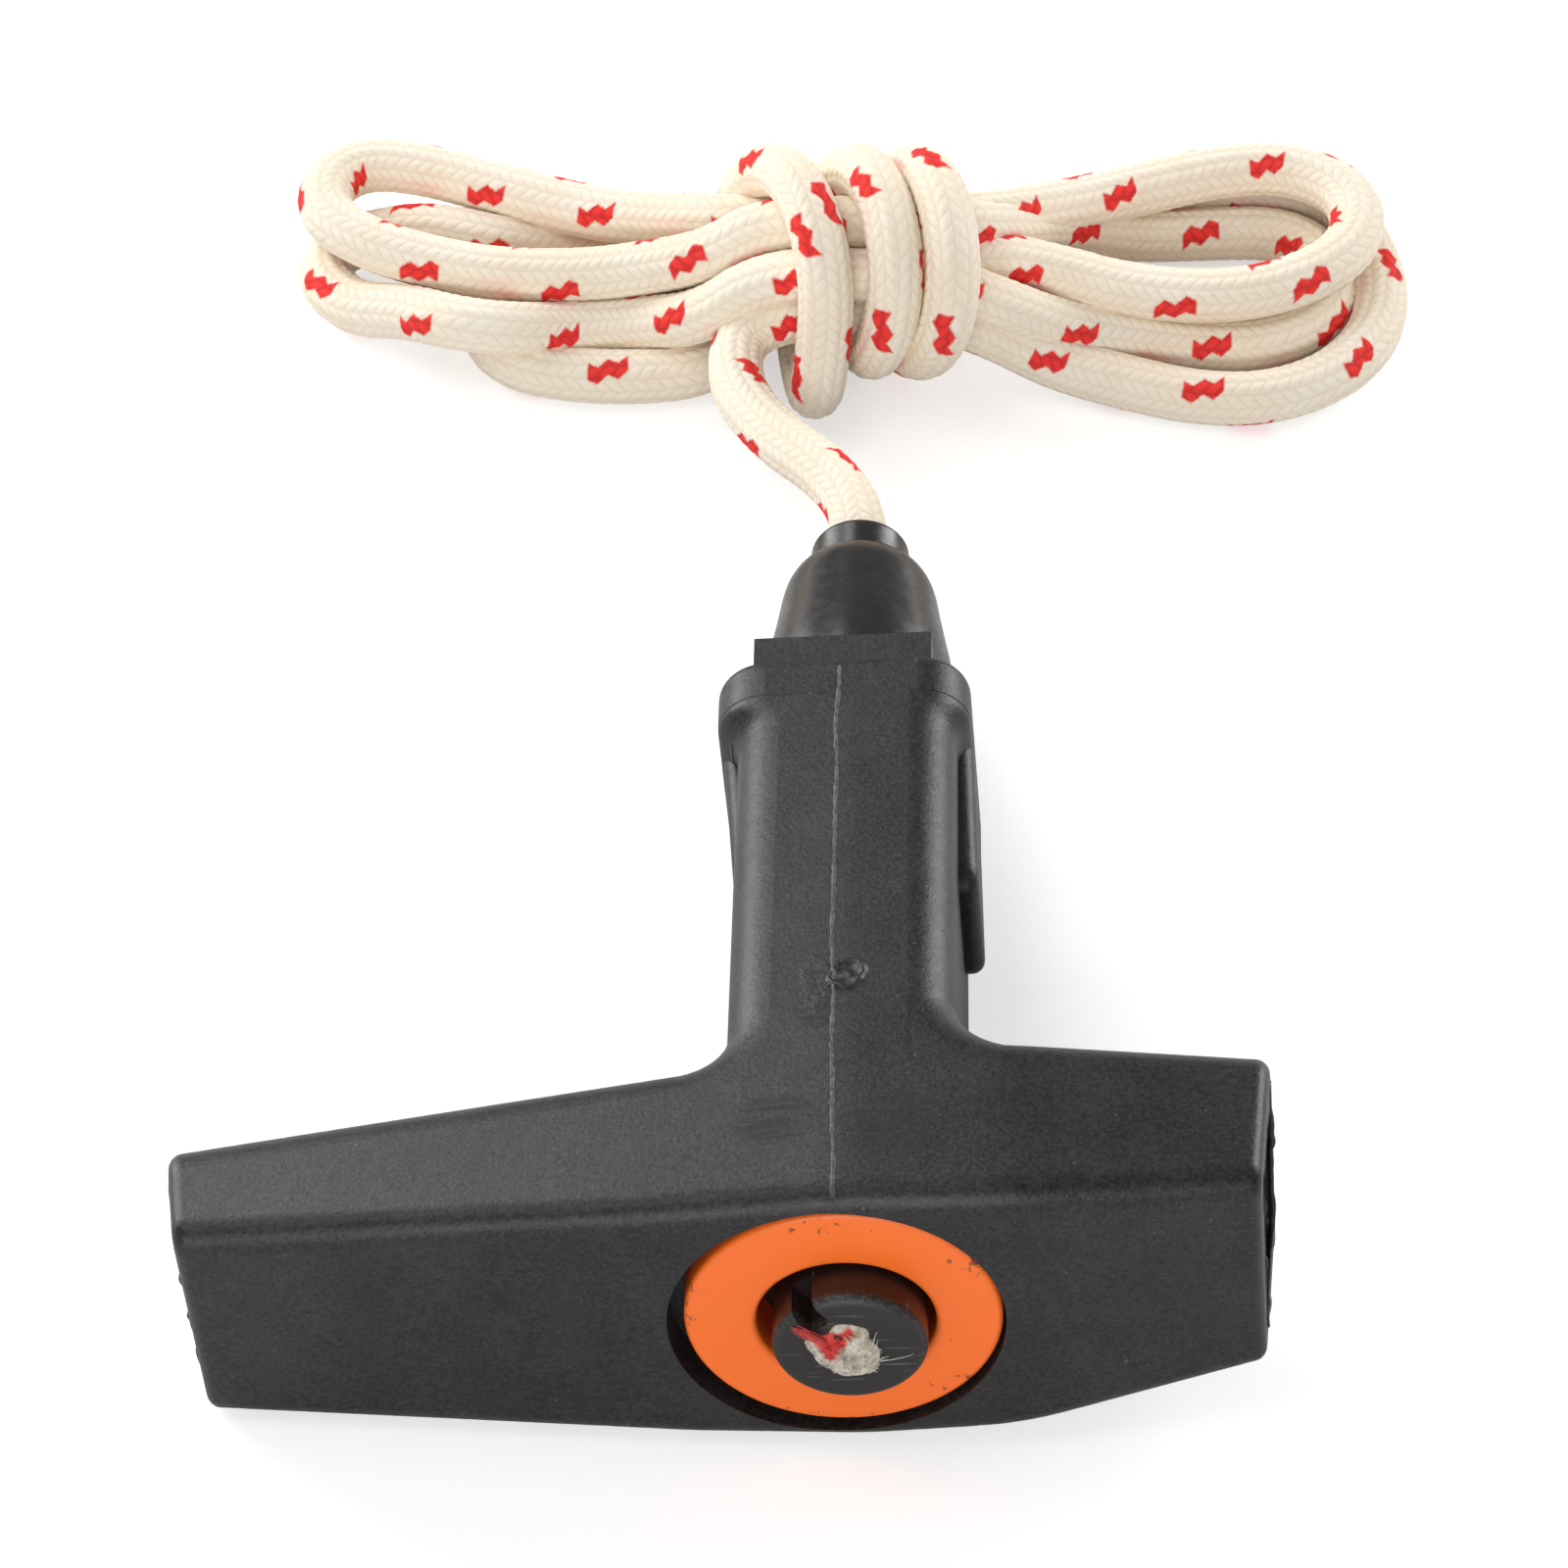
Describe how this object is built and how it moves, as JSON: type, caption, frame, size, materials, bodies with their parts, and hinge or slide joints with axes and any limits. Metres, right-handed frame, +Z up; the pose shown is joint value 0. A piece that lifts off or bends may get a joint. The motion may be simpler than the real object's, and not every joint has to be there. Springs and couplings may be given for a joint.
{
  "type": "recoil starter handle",
  "caption": "Lopsided T-shaped pull grip with a sprung rope plug behind a snap ring, a conical nipple and a braided starter rope tied in a hank.",
  "frame": {"origin": "on the floor, under the middle of the handle's box, without its loose rope", "axes": "+Z up, +Y along the stem towards the engine (seen from above), +X along the short arm"},
  "size_m": [0.115, 0.1633, 0.0337],
  "materials": {
    "grip_black": "fine grained moulded nylon",
    "ring_orange": "smooth moulded",
    "plug_black": "satin moulded",
    "spring_steel": "oiled spring wire",
    "nipple_black": "glossy moulded",
    "rope_braid": "braided, cream with red flecks"
  },
  "bodies": {
    "grip": {"grip_body": "grip_black", "retaining_ring": "ring_orange", "nipple": "nipple_black", "damper_spring": "spring_steel"},
    "rope_line": {"rope_plug": "plug_black", "rope_core": "rope_braid", "rope_lead": "rope_braid", "rope_hank": "rope_braid"}
  },
  "joints": [
    {"name": "damper_slide", "type": "slide", "parent": "grip", "child": "rope_line", "axis": [0, 0.9988, -0.0489], "range_m": [0, 0.009], "stiffness_N_per_m": 5000, "springref_m": -0.003, "deforming": ["damper_spring"]}
  ]
}
